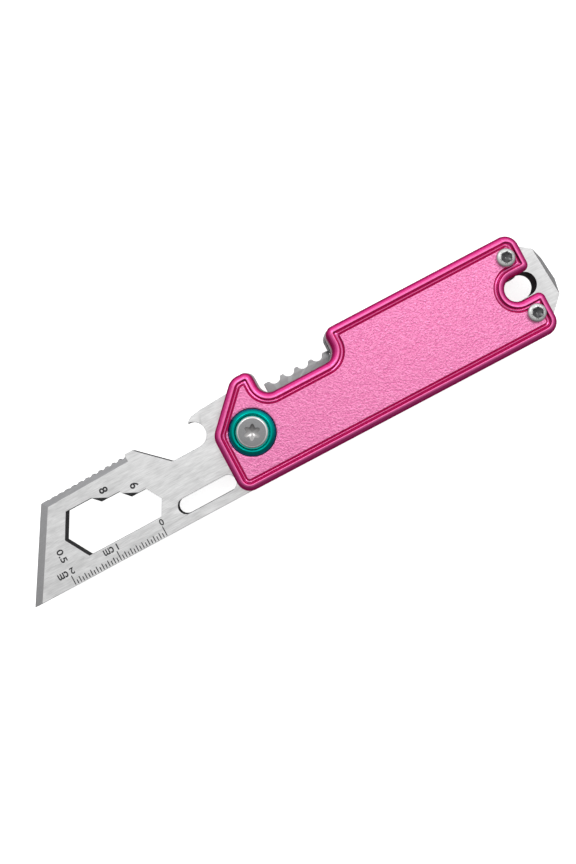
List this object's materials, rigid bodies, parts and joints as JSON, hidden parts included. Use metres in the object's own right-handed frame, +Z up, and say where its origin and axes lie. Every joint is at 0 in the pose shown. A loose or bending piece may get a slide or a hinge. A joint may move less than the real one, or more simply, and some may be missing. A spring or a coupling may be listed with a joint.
{
  "type": "folding pocket multi-tool",
  "caption": "Folding pocket multi-tool, blade open: scraper blade with wrench openings, opener claw and ruler, grooved pink scales, liner lock and tail pry plate.",
  "frame": {"origin": "under the middle of the open tool's box, on the surface that it lies on", "axes": "+X along the tool from the scraper tip to the tail, +Z up through the layers, out of the front scale"},
  "size_m": [0.1198, 0.0212, 0.0109],
  "materials": {
    "anodised_pink": "bead-blasted and anodised",
    "anodised_teal": "anodised, polished",
    "blade_steel": "brushed lengthwise",
    "liner_steel": "satin",
    "fastener_steel": "turned, satin",
    "washer_bronze": "plain",
    "laser_mark": "laser-marked, dull"
  },
  "bodies": {
    "handle": {"front_scale": "anodised_pink", "rear_scale": "anodised_pink", "front_liner": "liner_steel", "rear_liner": "liner_steel", "front_pivot_washer": "washer_bronze", "rear_pivot_washer": "washer_bronze", "pivot_barrel": "fastener_steel", "pivot_screw": "fastener_steel", "front_pivot_collar": "anodised_teal", "rear_pivot_collar": "anodised_teal", "stop_pin": "fastener_steel", "tail_plate": "blade_steel", "upper_tail_standoff": "fastener_steel", "front_tail_screw_upper": "fastener_steel", "rear_tail_screw_upper": "fastener_steel", "lower_tail_standoff": "fastener_steel", "front_tail_screw_lower": "fastener_steel", "rear_tail_screw_lower": "fastener_steel"},
    "blade": {"blade": "blade_steel"},
    "lock_bar": {"lock_bar": "liner_steel", "detent_ball": "fastener_steel"}
  },
  "joints": [
    {"name": "blade_fold", "type": "hinge", "parent": "handle", "child": "blade", "pos_m": [-0.00633, -0.00022, 0.00507], "axis": [0, 0, -1], "range_deg": [0, 180.5]},
    {"name": "lock_bar_flex", "type": "hinge", "parent": "handle", "child": "lock_bar", "pos_m": [0.03367, 0.00358, 0.003], "axis": [0, -1, 0], "range_deg": [0, 2.56]}
  ],
  "couplings": [
    {"joint": "lock_bar_flex", "follows": "blade_fold", "ratio": 0.014149}
  ]
}
